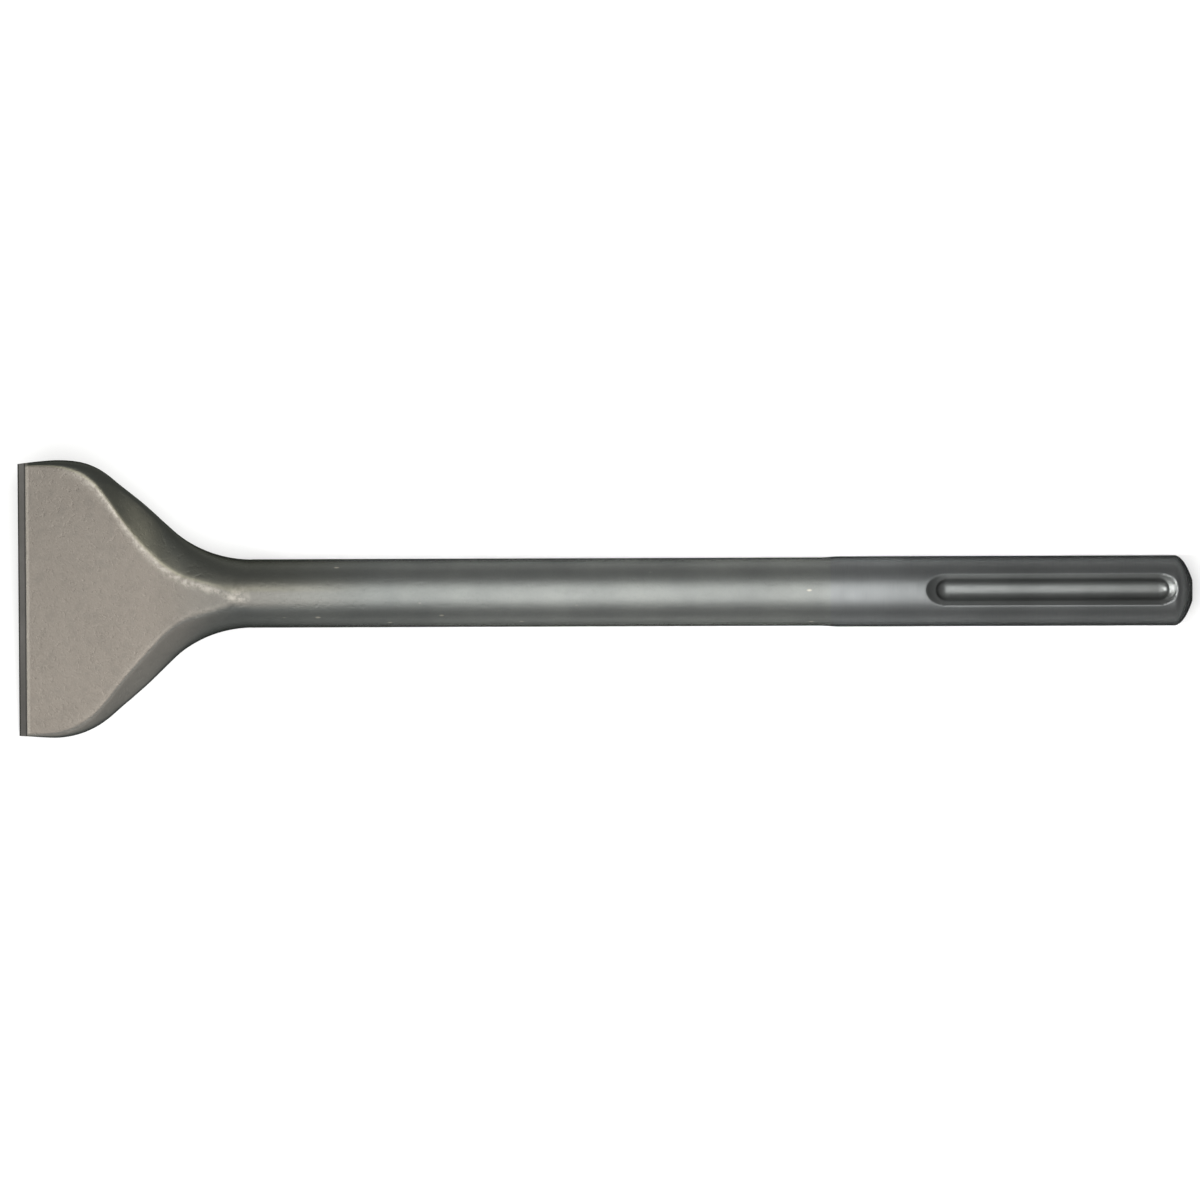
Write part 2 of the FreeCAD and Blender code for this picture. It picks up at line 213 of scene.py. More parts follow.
@dataclass
class ForgedOutline:
    """The forging's outline from above and its cross-sections, in millimetres and degrees.

    A run is a distance from the cutting edge along the bar. The outline is a side that opens
    slightly, a round shoulder, a straight flank and a hollow neck that ends in the bar.
    """

    # The blank from above
    overall_length: float = 300
    bar_radius: float = 8.75
    edge_width: float = 70.6
    flare_angle: float = 6.5
    shoulder_radius: float = 21
    flank_angle: float = 42.4
    neck_radius: float = 30
    blade_run: float = 60
    blade_offset: float = 1.5
    # The ground bevels and the pressed faces
    tip_thickness: float = 0.3
    bevel_length: float = 2
    bevel_heel_thickness: float = 2.2
    wedge_angle: float = 16.2
    # The rounded flanks, and how far the hammer widened each
    side_bulge: float = 0.55
    flank_bulge: float = 1.13
    barrel_rise: float = 1.06
    edge_rounding: float = 1.3
    flank_lean: float = 26
    lean_end: float = 44
    wide_run: float = 31.5
    wide_spread: float = 7.5
    wide_upper: float = 2.5
    wide_lower: float = 0.6
    # Where the outline swells or falls short
    swell: float = 0.75
    swell_run: float = 33
    swell_spread: float = 7
    upper_trim: float = 0.5
    trim_run: float = 11
    trim_spread: float = 6
    # Painted highlight along the edge between face and flank, partly bare worn steel, weaker on the
    # lower side
    wear_and_highlight_start: float = 10
    wear_and_highlight_fade_in: float = 8
    wear_and_highlight_end: float = 64
    wear_and_highlight_fade_out: float = 15
    lower_wear_and_highlight: float = 0.2
    wear_and_highlight_inset: float = 0.85
    wear_and_highlight_width: float = 1.15
    # How far the flat top's corner at the neck's start is rounded over
    corner_softening: float = 3.5
    softening_points: int = 15
    # How finely a section is drawn, and the limits that keep its curves from crossing
    arc_points: int = 400
    curve_points: int = 900
    window_points: int = 21
    fall_limit: float = 0.9
    rounding_limit: float = 0.45

    def __post_init__(self) -> None:
        """Works out where the outline's stretches meet."""
        self.flare = math.radians(self.flare_angle)
        self.flank = math.radians(self.flank_angle)
        self.slope = math.tan(math.radians(self.wedge_angle / 2))
        self.neck_start = self.blade_run - self.neck_radius * math.sin(self.flank)
        drop = self.neck_radius / math.cos(self.flank) - self.neck_radius
        self.flank_rise = self.blade_run * math.tan(self.flank) + self.bar_radius - drop
        across_flank = self.flank_rise - self.shoulder_radius / math.cos(self.flank)
        across_side = self.edge_width / 2 - self.shoulder_radius / math.cos(self.flare)
        turns = math.tan(self.flare) + math.tan(self.flank)
        self.centre_run = (across_flank - across_side) / turns
        self.centre_width = across_side + self.centre_run * math.tan(self.flare)
        self.shoulder_start = self.centre_run - self.shoulder_radius * math.sin(self.flare)
        self.shoulder_end = self.centre_run + self.shoulder_radius * math.sin(self.flank)

    def half_width(self, run: float) -> float:
        """Half the blade's width.

        Args:
            run: Where it is asked.

        Returns:
            The distance from the blade's middle to its outline.
        """
        if run < self.shoulder_start:
            return self.edge_width / 2 + run * math.tan(self.flare)
        if run < self.shoulder_end:
            rise = self.shoulder_radius ** 2 - (run - self.centre_run) ** 2
            return self.centre_width + math.sqrt(rise)
        if run < self.neck_start:
            return self.flank_rise - run * math.tan(self.flank)
        left = max(self.blade_run - run, 0)
        return self.bar_radius + self.neck_radius - math.sqrt(self.neck_radius ** 2 - left ** 2)

    def sideways(self, run: float) -> float:
        """Where the blade's middle lies across the bar: it was forged a little to one side."""
        left = max(self.blade_run - run, 0) / self.blade_run
        return -self.blade_offset * left ** 2

    def face_height(self, run: float) -> float:
        """Half the distance between the two faces, or between the ground bevels.

        Args:
            run: Where it is asked.

        Returns:
            The height of the upper one over the blade's middle plane.
        """
        heel = self.bevel_heel_thickness / 2
        tip = self.tip_thickness / 2
        if run < self.bevel_length:
            return tip + (heel - tip) * run / self.bevel_length
        return heel + (run - self.bevel_length) * self.slope

    def wedge_height(self, run: float) -> float:
        """Half the distance between the two pressed faces, as if no bevel had been ground."""
        return self.bevel_heel_thickness / 2 + (run - self.bevel_length) * self.slope

    def barrel_height(self, run: float) -> float:
        """Half the height of the rounded flank: just above the faces, then the bar's own.

        Args:
            run: Where it is asked.

        Returns:
            The height that the flank's curve would reach over the middle plane.
        """
        heel = self.bevel_heel_thickness / 2
        crossing = (self.bar_radius / self.barrel_rise - heel) / self.slope + self.bevel_length
        reach = self.blade_run - crossing
        if run < crossing - reach:
            return self.barrel_rise * self.wedge_height(run)
        left = max(self.blade_run - run, 0)
        return self.bar_radius - self.barrel_rise * self.slope * left ** 2 / (4 * reach)

    def bulge(self, run: float) -> float:
        """Depth of the whole rounded flank.

        Args:
            run: Where it is asked.

        Returns:
            Its size across the bar, from its top to the silhouette.
        """
        share = (run - self.shoulder_start) / (self.shoulder_end - self.shoulder_start)
        turn = clamped(share)
        depth = self.side_bulge + (self.flank_bulge - self.side_bulge) * turn
        shown = depth * self.wedge_height(run) / math.cos(self.flank * turn)
        return shown / (1 - math.sqrt(1 - 1 / self.barrel_rise ** 2))

    def top_half(self, run: float) -> float:
        """Half the flat top of the blank's cross-section, which closes up along the neck.

        Args:
            run: Where it is asked.

        Returns:
            The distance from the blade's middle to the top of the flank.
        """
        if run < self.neck_start:
            return self.half_width(run) - self.bulge(run)
        start = self.half_width(self.neck_start) - self.bulge(self.neck_start)
        left = max(self.blade_run - run, 0) / (self.blade_run - self.neck_start)
        return start * left ** 3

    def soft_top_half(self, run: float) -> float:
        """The flat top's half width with the corner at the neck's start rounded over."""
        near = np.linspace(-self.corner_softening, self.corner_softening, self.softening_points)
        return float(np.mean([self.top_half(run + step) for step in near]))

    def outline_change(self, run: float, upper: bool) -> float:
        """How far the hammered outline strays from the straight one, in millimetres.

        Args:
            run: Where it is asked.
            upper: Whether it is the +Y side.

        Returns:
            The flanks' swelling, less what the upper shoulder lacks.
        """
        swollen = self.swell * math.exp(-((run - self.swell_run) / self.swell_spread) ** 2)
        trimmed = self.upper_trim * math.exp(-((run - self.trim_run) / self.trim_spread) ** 2)
        return swollen - trimmed if upper else swollen

    def quarter_section(self, run: float, upper: bool) -> tuple[np.ndarray, np.ndarray, float]:
        """One quarter of a cross-section, from the middle of the face out to the silhouette.

        Args:
            run: Where the section is taken.
            upper: Whether it is the +Y side, where the hammer left the wider flank.

        Returns:
            Evenly spaced points (across, up), their distance along the curve and the distance
            at which the face meets the flank.
        """
        top = self.soft_top_half(run)
        depth = self.half_width(run) + self.outline_change(run, upper) - top
        barrel = self.barrel_height(run)
        face = min(self.face_height(run), barrel)
        start = math.asin(min(face / barrel, 1))
        turned = np.linspace(start, 0, self.arc_points)
        arc = np.column_stack([top + depth * np.cos(turned), barrel * np.sin(turned)])
        # Hammered flank: it leaves the face at a steady lean and turns down only further out
        widest = self.wide_upper if upper else self.wide_lower
        wider = widest * math.exp(-((run - self.wide_run) / self.wide_spread) ** 2)
        reach = depth * (1 - math.cos(start)) + wider
        fall = min(reach * math.tan(math.radians(self.flank_lean)), self.fall_limit * face)
        rim = arc[0] - np.array([wider, 0])
        bend = np.array([top + depth, face - fall])
        leant = bow(rim, bend, arc[-1], self.arc_points)
        weight = eased(clamped((self.blade_run - run) / (self.blade_run - self.lean_end)))
        side = (1 - weight) * arc + weight * leant
        across = np.concatenate([[0], side[:, 0]])
        up = np.concatenate([[face], side[:, 1]])
        along = np.concatenate([[0], np.cumsum(np.hypot(np.diff(across), np.diff(up)))])
        corner = float(along[1])
        # The same curve with its mirror images, averaged over a short window: a soft edge
        window = min(self.edge_rounding, self.rounding_limit * face)
        places = np.linspace(0, along[-1], self.curve_points)
        spread = np.linspace(-window, window, self.window_points)
        asked = places[:, None] + spread[None, :]
        over_top = asked < 0
        past_end = asked > along[-1]
        folded = np.abs(asked)
        folded = np.where(past_end, 2 * along[-1] - folded, folded)
        y = np.interp(folded, along, across) * np.where(over_top, -1, 1)
        z = np.interp(folded, along, up) * np.where(past_end, -1, 1)
        return np.column_stack([y.mean(1), z.mean(1)]), places, corner


@dataclass
class TurnedShank:
    """The ground shank that the tool holder grips, in millimetres and degrees."""

    radius: float = 9
    length: float = 90
    step_run: float = 5.5
    end_crown_run: float = 4.6
    end_shoulder_run: float = 2.1
    end_shoulder_radius: float = 8.85
    end_flat_radius: float = 2.7
    lock_angle: float = 12.2
    lock_end_gap: float = 3.7
    lock_length: float = 64.3
    lock_depth: float = 3.1
    lock_channel_radius: float = 3.3
    lock_lip_width: float = 8
    lock_lip_radius: float = 7.2
    slot_angle: float = 105
    slot_width: float = 5
    slot_depth: float = 2.4
    slot_length: float = 71.5
    slot_cutter_radius: float = 10
    slot_cutter_sides: int = 128
    overrun: float = 5
    lip_rounding: float = 0.36
    channel_rounding: float = 0.2

    def locked_radius(self, radius: float, left: float, angle: np.ndarray) -> np.ndarray:
        """The radius round a ring where the two opposite locking grooves are rolled in.

        Args:
            radius: The ring's own radius.
            left: Distance from the ring to the striking end.
            angle: Directions round the ring, from the top of the blank towards +Y.

        Returns:
            The radius in each direction, with softly rounded rims.
        """
        turned = (angle - math.radians(self.lock_angle) + math.pi / 2) % math.pi - math.pi / 2
        half = self.lock_lip_width / 2
        lip_drop = math.sqrt(self.lock_lip_radius ** 2 - half ** 2)
        lip_centre = math.sqrt(self.radius ** 2 - half ** 2) + lip_drop
        reach = math.sqrt(self.lock_lip_radius ** 2 - (lip_centre - self.radius) ** 2)
        near = self.lock_end_gap + reach
        far = self.lock_end_gap + self.lock_length - reach
        beyond = max(near - left, left - far, 0)
        floor_centre = self.radius - self.lock_depth + self.lock_channel_radius
        found = np.full(angle.shape, radius, dtype=float)
        scoops = (
            (lip_centre, self.lock_lip_radius, self.lip_rounding),
            (floor_centre, self.lock_channel_radius, self.channel_rounding),
        )
        for centre, scoop, rounding in scoops:
            inside = (centre * np.cos(turned)) ** 2 - centre ** 2 + scoop ** 2 - beyond ** 2
            entry = centre * np.cos(turned) - np.sqrt(np.maximum(inside, 0))
            entry = np.where(inside > 0, entry, 2 * self.radius)
            near_rim = np.maximum(rounding - np.abs(found - entry), 0) / rounding
            found = np.minimum(found, entry) - near_rim ** 2 * rounding / 4
        return found

    def crown(self, overall: float, count: int) -> list[tuple[float, float]]:
        """The rounded striking end: a soft shoulder that runs into a blunt cone.

        Args:
            overall: The chisel's whole length.
            count: How many rings the rounding gets.

        Returns:
            Run and radius of each ring.
        """
        start = np.array([overall - self.end_crown_run, self.radius])
        shoulder = np.array([overall - self.end_shoulder_run, self.end_shoulder_radius])
        end = np.array([overall, self.end_flat_radius])
        rings = bow(start, shoulder, end, count)
        return [(float(run), float(radius)) for run, radius in rings]


@dataclass
class ChiselForging:
    """The whole chisel as one skin from the cutting edge to the striking end."""

    outline: ForgedOutline = field(default_factory=ForgedOutline)
    shank: TurnedShank = field(default_factory=TurnedShank)
    # How finely the skin is drawn, round it and along it
    face_columns: int = 20
    corner_columns: int = 12
    flank_columns: int = 16
    corner_zone: float = 0.8
    column_hold: int = 4
    bevel_rings: int = 6
    blade_spacing: float = 0.5
    bar_spacing: float = 2.0
    shank_spacing: float = 1.0
    groove_spacing: float = 2.0
    groove_end_spacing: float = 0.13
    groove_end_run: float = 6.5
    groove_crowding: float = 0.55
    crown_rings: int = 36
    seam: float = 0.0005
    # The forged skin's unevenness, which fades at both ends and is less on the bar
    unevenness: float = 0.05
    unevenness_size: float = 9
    unevenness_detail: int = 2
    uneven_fade_in: float = 4
    uneven_fade_out: float = 10
    calming_run: float = 30
    bar_calm: float = 0.7
    # What counts as a blade face's normal, as the inside of a groove and as a sharp edge
    face_normal: float = 0.9
    groove_margin: float = 0.12
    sharp_angle: float = 32

    def __post_init__(self) -> None:
        """Reads the chisel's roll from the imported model's blade, and keeps the crown's curve."""
        self.quarter = self.face_columns + self.corner_columns + self.flank_columns
        self.columns = 4 * self.quarter
        blade_end = cad_box[0].x + self.outline.neck_start * MM
        faces = [
            polygon
            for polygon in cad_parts[NODE].data.polygons
            if polygon.center.x < blade_end and polygon.normal.z > self.face_normal
        ]
        upper = max(faces, key=lambda polygon: polygon.area).normal
        self.roll = math.atan2(-upper.y, upper.z)
        self.axis_height = self.shank.radius * MM
        crown = self.shank.crown(self.outline.overall_length, self.crown_rings)
        self.crown_profile = np.array(crown).T

    def stations(self) -> list[tuple[float, float | None]]:
        """Where the rings stand.

        Returns:
            Run of each ring, with its radius where it is round and None along the blade.
        """
        outline = self.outline
        shank = self.shank
        step = outline.overall_length - shank.length
        cone = step - shank.step_run
        crown = shank.crown(outline.overall_length, self.crown_rings)
        ground = np.linspace(0, outline.bevel_length, self.bevel_rings)
        blade = self.spaced(outline.bevel_length, outline.blade_run, self.blade_spacing)
        bar = self.spaced(outline.blade_run, cone, self.bar_spacing)
        rise = self.spaced(cone, step, self.shank_spacing / 2)
        climb = (rise - cone) / (step - cone)
        risen = outline.bar_radius + (shank.radius - outline.bar_radius) * eased(climb)
        groove = outline.overall_length - shank.lock_end_gap - shank.lock_length
        groove -= self.shank_spacing
        plain = self.spaced(step, groove, self.shank_spacing)
        first = self.spaced(groove, groove + self.groove_end_run, self.groove_end_spacing)
        last = self.spaced(crown[0][0] - self.groove_end_run, crown[0][0], self.groove_end_spacing)
        grooved = self.spaced(first[-1], last[0], self.groove_spacing)
        found: list[tuple[float, float | None]] = [(run, None) for run in ground[:-1]]
        found += [(run, None) for run in blade[:-1]]
        found += [(run, outline.bar_radius) for run in bar[:-1]]
        found += list(zip(rise[:-1], risen[:-1]))
        found += [(run, shank.radius) for run in plain[:-1]]
        for stretch in (first, grooved, last):
            found += [(run, shank.radius) for run in stretch[:-1]]
        return found + crown

    def spaced(self, start: float, end: float, spacing: float) -> np.ndarray:
        """Even places from start to end, at most that spacing apart."""
        return np.linspace(start, end, math.ceil((end - start) / spacing) + 1)

    def column_places(self, run: float, along: np.ndarray, corner: float) -> np.ndarray:
        """Where a quarter section's columns stand along its curve.

        Args:
            run: Where the section is taken.
            along: Distances along the section.
            corner: Distance at which the face meets the flank.

        Returns:
            The distance of each column, closest together at the corner of the blade and even
            round the bar.
        """
        whole = along[-1]
        before = min(self.corner_zone, corner / 3)
        after = min(self.corner_zone, (whole - corner) / 3)
        low = corner - before
        high = corner + after
        parts = (
            np.linspace(0, low, self.face_columns, endpoint=False),
            np.linspace(low, high, self.corner_columns, endpoint=False),
            np.linspace(high, whole, self.flank_columns + 1),
        )
        even = np.linspace(0, whole, self.quarter + 1)
        # The columns hold the blade's places until close to the bar
        neck = self.outline.blade_run - self.outline.neck_start
        weight = clamped((run - self.outline.neck_start) / neck) ** self.column_hold
        return (1 - weight) * np.concatenate(parts) + weight * even

    def ring(self, run: float, radius: float | None) -> tuple[np.ndarray, np.ndarray]:
        """One closed ring of the skin.

        Args:
            run: Where it stands.
            radius: Its radius, or None where the blade's own section counts.

        Returns:
            Points (across, up) round the ring from the top towards +Y, and how close each is
            to the edge between face and flank, from 0 to 1.
        """
        if radius is not None:
            return self.round_ring(run, radius)
        outline = self.outline
        # The edge's painted highlight, partly bare worn steel, fades in along the blade and out at
        # the neck, and is weaker on the lower side
        fade = clamped((outline.wear_and_highlight_end - run) / outline.wear_and_highlight_fade_out)
        fade *= clamped((run - outline.wear_and_highlight_start) / outline.wear_and_highlight_fade_in)
        quarters = []
        for upper in (True, False):
            points, along, corner = outline.quarter_section(run, upper)
            places = self.column_places(run, along, corner)
            y = np.interp(places, along, points[:, 0])
            z = np.interp(places, along, points[:, 1])
            wear_and_highlight_share = fade if upper else fade * outline.lower_wear_and_highlight
            off = (places - corner + outline.wear_and_highlight_inset) / outline.wear_and_highlight_width
            quarters.append(np.column_stack([y, z, wear_and_highlight_share * np.exp(-off ** 2)]))
        near, far = quarters
        down = slice(self.quarter - 1, 0, -1)
        ring = np.concatenate([
            near, near[down] * [1, -1, 1], far * [-1, -1, 1], far[down] * [-1, 1, 1],
        ])
        ring[:, 0] += outline.sideways(run)
        return ring[:, :2], ring[:, 2]

    def round_ring(self, run: float, radius: float) -> tuple[np.ndarray, np.ndarray]:
        """One ring of the bar or the shank, whose columns crowd together at the grooves.

        Args:
            run: Where it stands.
            radius: Its radius beside the grooves.

        Returns:
            Points (across, up) round the ring, and a share of edge wear and painted highlight of
            nought for each.
        """
        outline = self.outline
        even = np.linspace(0, 2 * math.pi, self.columns, endpoint=False)
        bar = outline.overall_length - self.shank.length - outline.blade_run
        share = clamped((run - outline.blade_run) / bar)
        crowd = self.groove_crowding * share / 2
        angle = even - crowd * np.sin(2 * (even - math.radians(self.shank.lock_angle)))
        depth = self.shank.locked_radius(radius, outline.overall_length - run, angle)
        points = np.column_stack([depth * np.sin(angle), depth * np.cos(angle)])
        return points, np.zeros(self.columns)

    def build_skin(self) -> bpy.types.Object:
        """Adds a grid, rolls it into a tube on the cross-sections and closes both ends.

        Returns:
            The closed skin, with each point's share of the edge's wear and painted highlight as an
            attribute.
        """
        stations = self.stations()
        last = len(stations) - 1
        deselect_all()
        bpy.ops.mesh.primitive_grid_add(x_subdivisions=last, y_subdivisions=self.columns, size=2)
        piece = bpy.context.active_object
        piece.name = piece.data.name = PIECE
        start = vertex_places(piece)
        number = np.rint((start[:, 0] + 1) / 2 * last).astype(int)
        column = np.rint((start[:, 1] + 1) / 2 * self.columns).astype(int) % self.columns
        rings = [self.ring(run, radius) for run, radius in stations]
        sections = np.array([points for points, _ in rings])[number, column]
        wear_and_highlight_shares = np.array([wear_and_highlight_share for _, wear_and_highlight_share in rings])[number, column]
        runs = np.array([run for run, _ in stations])[number]
        cos, sin = math.cos(self.roll), math.sin(self.roll)
        places = np.column_stack([
            runs * MM + cad_box[0].x,
            (sections[:, 0] * cos - sections[:, 1] * sin) * MM,
            (sections[:, 0] * sin + sections[:, 1] * cos) * MM + self.axis_height,
        ])
        piece.data.vertices.foreach_set("co", places.ravel())
        near_edge = piece.data.attributes.new(EDGE_WEAR_AND_HIGHLIGHT, "FLOAT", "POINT")
        near_edge.data.foreach_set("value", wear_and_highlight_shares.astype(np.float32))
        piece.data.update()
        make_active(piece)
        bpy.ops.object.mode_set(mode="EDIT")
        bpy.ops.mesh.select_all(action="SELECT")
        bpy.ops.mesh.remove_doubles(threshold=self.seam * MM)
        bpy.ops.mesh.fill_holes(sides=0)
        bpy.ops.mesh.select_all(action="SELECT")
        bpy.ops.mesh.normals_make_consistent(inside=False)
        bpy.ops.object.mode_set(mode="OBJECT")
        return piece

    def roughen(self, piece: bpy.types.Object) -> None:
        """Gives the forged stretch a slightly uneven skin, as the dies and the scale left it.

        Args:
            piece: The chisel's skin.
        """
        group = piece.vertex_groups.new(name="forged")
        outline = self.outline
        places = (vertex_places(piece)[:, 0] - cad_box[0].x) / MM
        step = outline.overall_length - self.shank.length - self.shank.step_run
        fade = np.clip((places - outline.bevel_length) / self.uneven_fade_in, 0, 1)
        fade *= np.clip((step - places) / self.uneven_fade_out, 0, 1)
        bar = np.clip((places - outline.neck_start) / self.calming_run, 0, 1)
        weights = fade * (1 - self.bar_calm * bar)
        for number, weight in enumerate(weights):
            if weight > 0:
                group.add([number], float(weight), "REPLACE")
        texture = bpy.data.textures.new("forging_unevenness", "CLOUDS")
        texture.noise_scale = self.unevenness_size * MM
        texture.noise_depth = self.unevenness_detail
        displace = piece.modifiers.new("forging_unevenness", "DISPLACE")
        displace.texture = texture
        displace.texture_coords = "LOCAL"
        displace.vertex_group = group.name
        # The clouds push half of the strength each way
        displace.strength = self.unevenness * MM * 2
        displace.mid_level = 0.5
        make_active(piece)
        bpy.ops.object.modifier_apply(modifier=displace.name)

    def cut(self, piece: bpy.types.Object, cutter: bpy.types.Object) -> None:
        """Takes a cutter's volume out of the piece and removes the cutter.

        Args:
            piece: The piece that is cut.
            cutter: A closed shape.
        """
        modifier = piece.modifiers.new("cut", "BOOLEAN")
        modifier.operation = "DIFFERENCE"
        modifier.solver = "EXACT"
        modifier.object = cutter
        make_active(piece)
        bpy.ops.object.modifier_apply(modifier=modifier.name)
        bpy.data.objects.remove(cutter)

    def sweep(self, cutter: bpy.types.Object, length: float) -> None:
        """Pulls the half of a cutter that faces the striking end out along the bar.

        Args:
            cutter: A closed shape about its own origin.
            length: How far its half is pulled, in millimetres.
        """
        make_active(cutter)
        bpy.ops.object.mode_set(mode="EDIT")
        bpy.ops.mesh.select_mode(type="FACE")
        bpy.ops.mesh.select_all(action="DESELECT")
        bpy.ops.object.mode_set(mode="OBJECT")
        for polygon in cutter.data.polygons:
            polygon.select = polygon.center.x > 0
        bpy.ops.object.mode_set(mode="EDIT")
        bpy.ops.mesh.extrude_region_move(TRANSFORM_OT_translate={"value": (length * MM, 0, 0)})
        bpy.ops.mesh.select_all(action="SELECT")
        bpy.ops.mesh.normals_make_consistent(inside=False)
        bpy.ops.object.mode_set(mode="OBJECT")

    def lay_cutter(self, cutter: bpy.types.Object, run: float, height: float, angle: float) -> None:
        """Moves a cutter from the origin to its place at the shank.

        Args:
            cutter: The cutter.
            run: Its distance from the cutting edge.
            height: Its height over the bar's axis.
            angle: How far it is turned round that axis, in degrees.
        """
        lean = Matrix.Rotation(self.roll - math.radians(angle), 4, "X")
        place = Vector((cad_box[0].x + run * MM, 0, self.axis_height))
        cutter.data.transform(Matrix.Translation(Vector((0, 0, height * MM))))
        cutter.data.transform(lean)
        cutter.data.transform(Matrix.Translation(place))

    def cut_drive_slots(self, piece: bpy.types.Object) -> None:
        """Cuts the open slots, each with a flat floor and the cutter's curve at its inner end.

        Args:
            piece: The chisel's skin.
        """
        shank = self.shank
        radius = shank.slot_cutter_radius
        reach = math.sqrt(radius ** 2 - (radius - shank.slot_depth) ** 2)
        start = self.outline.overall_length - shank.slot_length + reach
        for side in (1, -1):
            deselect_all()
            bpy.ops.mesh.primitive_cylinder_add(
                vertices=shank.slot_cutter_sides, radius=radius * MM, depth=shank.slot_width * MM,
                end_fill_type="TRIFAN", rotation=(math.pi / 2, 0, 0),
            )
            cutter = bpy.context.active_object
            bpy.ops.object.transform_apply(location=False, rotation=True, scale=False)
            self.sweep(cutter, self.outline.overall_length + shank.overrun - start)
            height = shank.radius - shank.slot_depth + radius
            self.lay_cutter(cutter, start, height, shank.lock_angle + side * shank.slot_angle)
            self.cut(piece, cutter)

    def keep_in_box(self, piece: bpy.types.Object) -> None:
        """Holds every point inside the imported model's box.

        Args:
            piece: The chisel's skin.
        """
        low, high = (np.array(corner) for corner in cad_box)
        places = np.clip(vertex_places(piece), low, high)
        piece.data.vertices.foreach_set("co", places.ravel())
        piece.data.update()

    def region_of(self, polygon: bpy.types.MeshPolygon) -> Region:
        """Which finish a face belongs to.

        Args:
            polygon: A face of the skin.

        Returns:
            The finish that its place asks for.
        """
        outline = self.outline
        shank = self.shank
        run = (polygon.center.x - cad_box[0].x) / MM
        if run < outline.bevel_length:
            return Region.GROUND_BEVEL
        if run < outline.overall_length - shank.length - shank.step_run / 2:
            return Region.FORGED
        across = math.hypot(polygon.center.y, polygon.center.z - self.axis_height) / MM
        surface = np.interp(run, *self.crown_profile)
        grooved = across < surface - self.groove_margin
        return Region.ROLLED_GROOVE if grooved else Region.TURNED_SHANK

    def dress(self, piece: bpy.types.Object, finishes: Finishes) -> None:
        """Gives each face the finish of its region and smooths all but the sharp edges.

        Args:
            piece: The chisel's skin.
            finishes: The material of each region.
        """
        for region in Region:
            piece.data.materials.append(finishes[region])
        for polygon in piece.data.polygons:
            polygon.material_index = self.region_of(polygon).value
        make_active(piece)
        bpy.ops.object.shade_smooth_by_angle(angle=math.radians(self.sharp_angle))

    def build(self, finishes: Finishes) -> bpy.types.Object:
        """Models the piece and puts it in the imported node's place.

        Args:
            finishes: The material of each region.

        Returns:
            The finished piece.
        """
        piece = self.build_skin()
        self.roughen(piece)
        self.cut_drive_slots(piece)
        self.keep_in_box(piece)
        self.dress(piece, finishes)
        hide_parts(NODE)
        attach(piece, BODY)
        return piece


class Reading(Enum):
    """What the strength of a tone can depend on at a point of the surface."""

    ALONG = "the place along the bar, in metres"
    ACROSS = "the place across the bar, in metres"
    OFF_TIP = "the distance from the point where the upper face ends, in metres"
    FACING_END = "how far the surface faces the striking end"
    FACING_SIDE = "how far it faces the upper side"
    FACING_UP = "how far it faces up"
    FLATNESS = "how far it faces up or down"
    EDGE = "how close it is to the edge between face and flank"
    GRAIN = "the marks of the tool or the blast"
    PATCHES = "broad patches"
    MOTTLE = "small spots"
    BREAKS = "gaps in the worn lines"
    DENTS = "hollows of the blast"
    # Painted glints: where they lie and which of them show
    KNOCK_DISTANCE = "the distance from the middle of a knock"
    KNOCK_CHOICE = "a number for each knock, by which few are chosen"


@dataclass(frozen=True)
class Window:
    """A share that changes evenly from its first value to its second while a reading does."""

    reading: Reading
    span: tuple[float, float]
    share: tuple[float, float]


@dataclass(frozen=True)
class Tone:
    """An sRGB colour laid over those before it, as strongly as its windows' product says."""

    colour: str
    windows: tuple[Window, ...]


# Size in millimetres and detail of the cloudy patterns: patches as broad as the dies left
# them, spots and gaps as large as flakes of scale, and dents coarser than the blast's own
PATTERNS = {
    Reading.PATCHES: (14, 3),
    Reading.MOTTLE: (2.6, 4),
    Reading.BREAKS: (1.5, 3),
    Reading.DENTS: (1.3, 3),
}
GRAIN_DETAIL = 4
NOISE_ROUGHNESS = 0.6
ROUGHNESS_SWING = 0.05

# Painted glints along the bar: spaced in millimetres and drawn out along it
GLINT_SIZE = 3.0
GLINT_LAY = (0.45, 1, 1)

# The middle of a painted highlight where the upper face ends at the neck
TIP_PLACE = (-0.0937, -0.0008, 0.0177)


